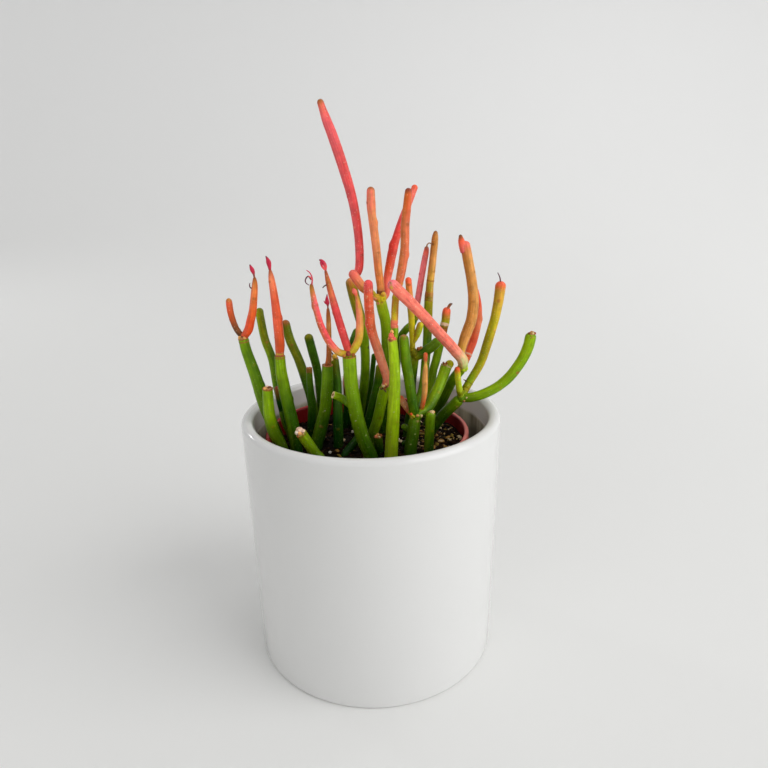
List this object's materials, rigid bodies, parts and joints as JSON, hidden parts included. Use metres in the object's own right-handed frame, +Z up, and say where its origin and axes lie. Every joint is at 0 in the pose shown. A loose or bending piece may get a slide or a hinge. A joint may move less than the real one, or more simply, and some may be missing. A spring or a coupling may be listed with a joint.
{
  "type": "potted succulent plant",
  "caption": "Upright pencil-stemmed succulent, green stems with red and orange tips, in a plastic nursery pot inside a plain white ceramic cylinder pot.",
  "frame": {"origin": "centre of the ceramic pot's flat underside", "axes": "+Z up along the ceramic pot's axis; -Y is the plant's front, with the stout bright stems; +X to the right seen from the front"},
  "size_m": [0.148, 0.13, 0.275],
  "materials": {
    "glazed_white": "gloss",
    "terracotta_plastic": "satin",
    "potting_mix": "matte",
    "stem_green": "satin",
    "stem_olive": "satin",
    "growth_red": "satin",
    "growth_coral": "satin",
    "growth_orange": "satin",
    "growth_ochre": "satin",
    "growth_lime": "satin"
  },
  "bodies": {
    "root": {"ceramic_pot": "glazed_white", "nursery_pot": "terracotta_plastic", "soil": "potting_mix", "left_forked_stem": "stem_green", "left_tall_stem": "stem_green", "left_cut_stub": "stem_green", "left_thin_cut_stem": "stem_green", "front_leaning_stub": "stem_green", "middle_left_stem": "stem_green", "front_forked_stem": "stem_green", "middle_callused_stem": "stem_green", "front_short_stub": "stem_green", "front_low_stub": "stem_green", "middle_forked_stem": "stem_green", "front_right_stem": "stem_green", "right_branching_stem": "stem_green", "right_leaning_stem": "stem_green", "far_right_stem": "stem_green", "right_short_stub": "stem_green", "left_olive_stem": "stem_olive", "left_back_long_stem": "stem_olive", "left_back_short_stem": "stem_olive", "middle_left_back_stem": "stem_olive", "middle_hidden_stem": "stem_olive", "middle_back_stem": "stem_olive", "middle_olive_stem": "stem_olive", "middle_thin_stem": "stem_olive", "right_back_forked_stem": "stem_olive", "right_back_thin_stem": "stem_olive", "front_fork_middle_growth": "growth_red", "tall_red_growth": "growth_red", "leaning_red_growth": "growth_red", "front_fork_left_growth": "growth_coral", "coral_growth": "growth_coral", "right_small_pink_growth": "growth_coral", "right_thin_pink_growth": "growth_coral", "pink_diagonal_growth": "growth_coral", "left_fork_short_growth": "growth_orange", "left_fork_tall_growth": "growth_orange", "left_tall_growth": "growth_orange", "front_fork_right_growth": "growth_orange", "orange_growth": "growth_orange", "right_small_orange_growth": "growth_orange", "red_orange_growth": "growth_orange", "middle_left_growth": "growth_ochre", "arching_ochre_growth": "growth_ochre", "upright_tan_growth": "growth_ochre", "right_ochre_growth": "growth_ochre", "big_ochre_growth": "growth_ochre", "right_short_lime_growth": "growth_lime", "right_back_lime_growth": "growth_lime", "far_right_stub_growth": "growth_lime", "far_right_lime_growth": "growth_lime"}
  },
  "joints": []
}
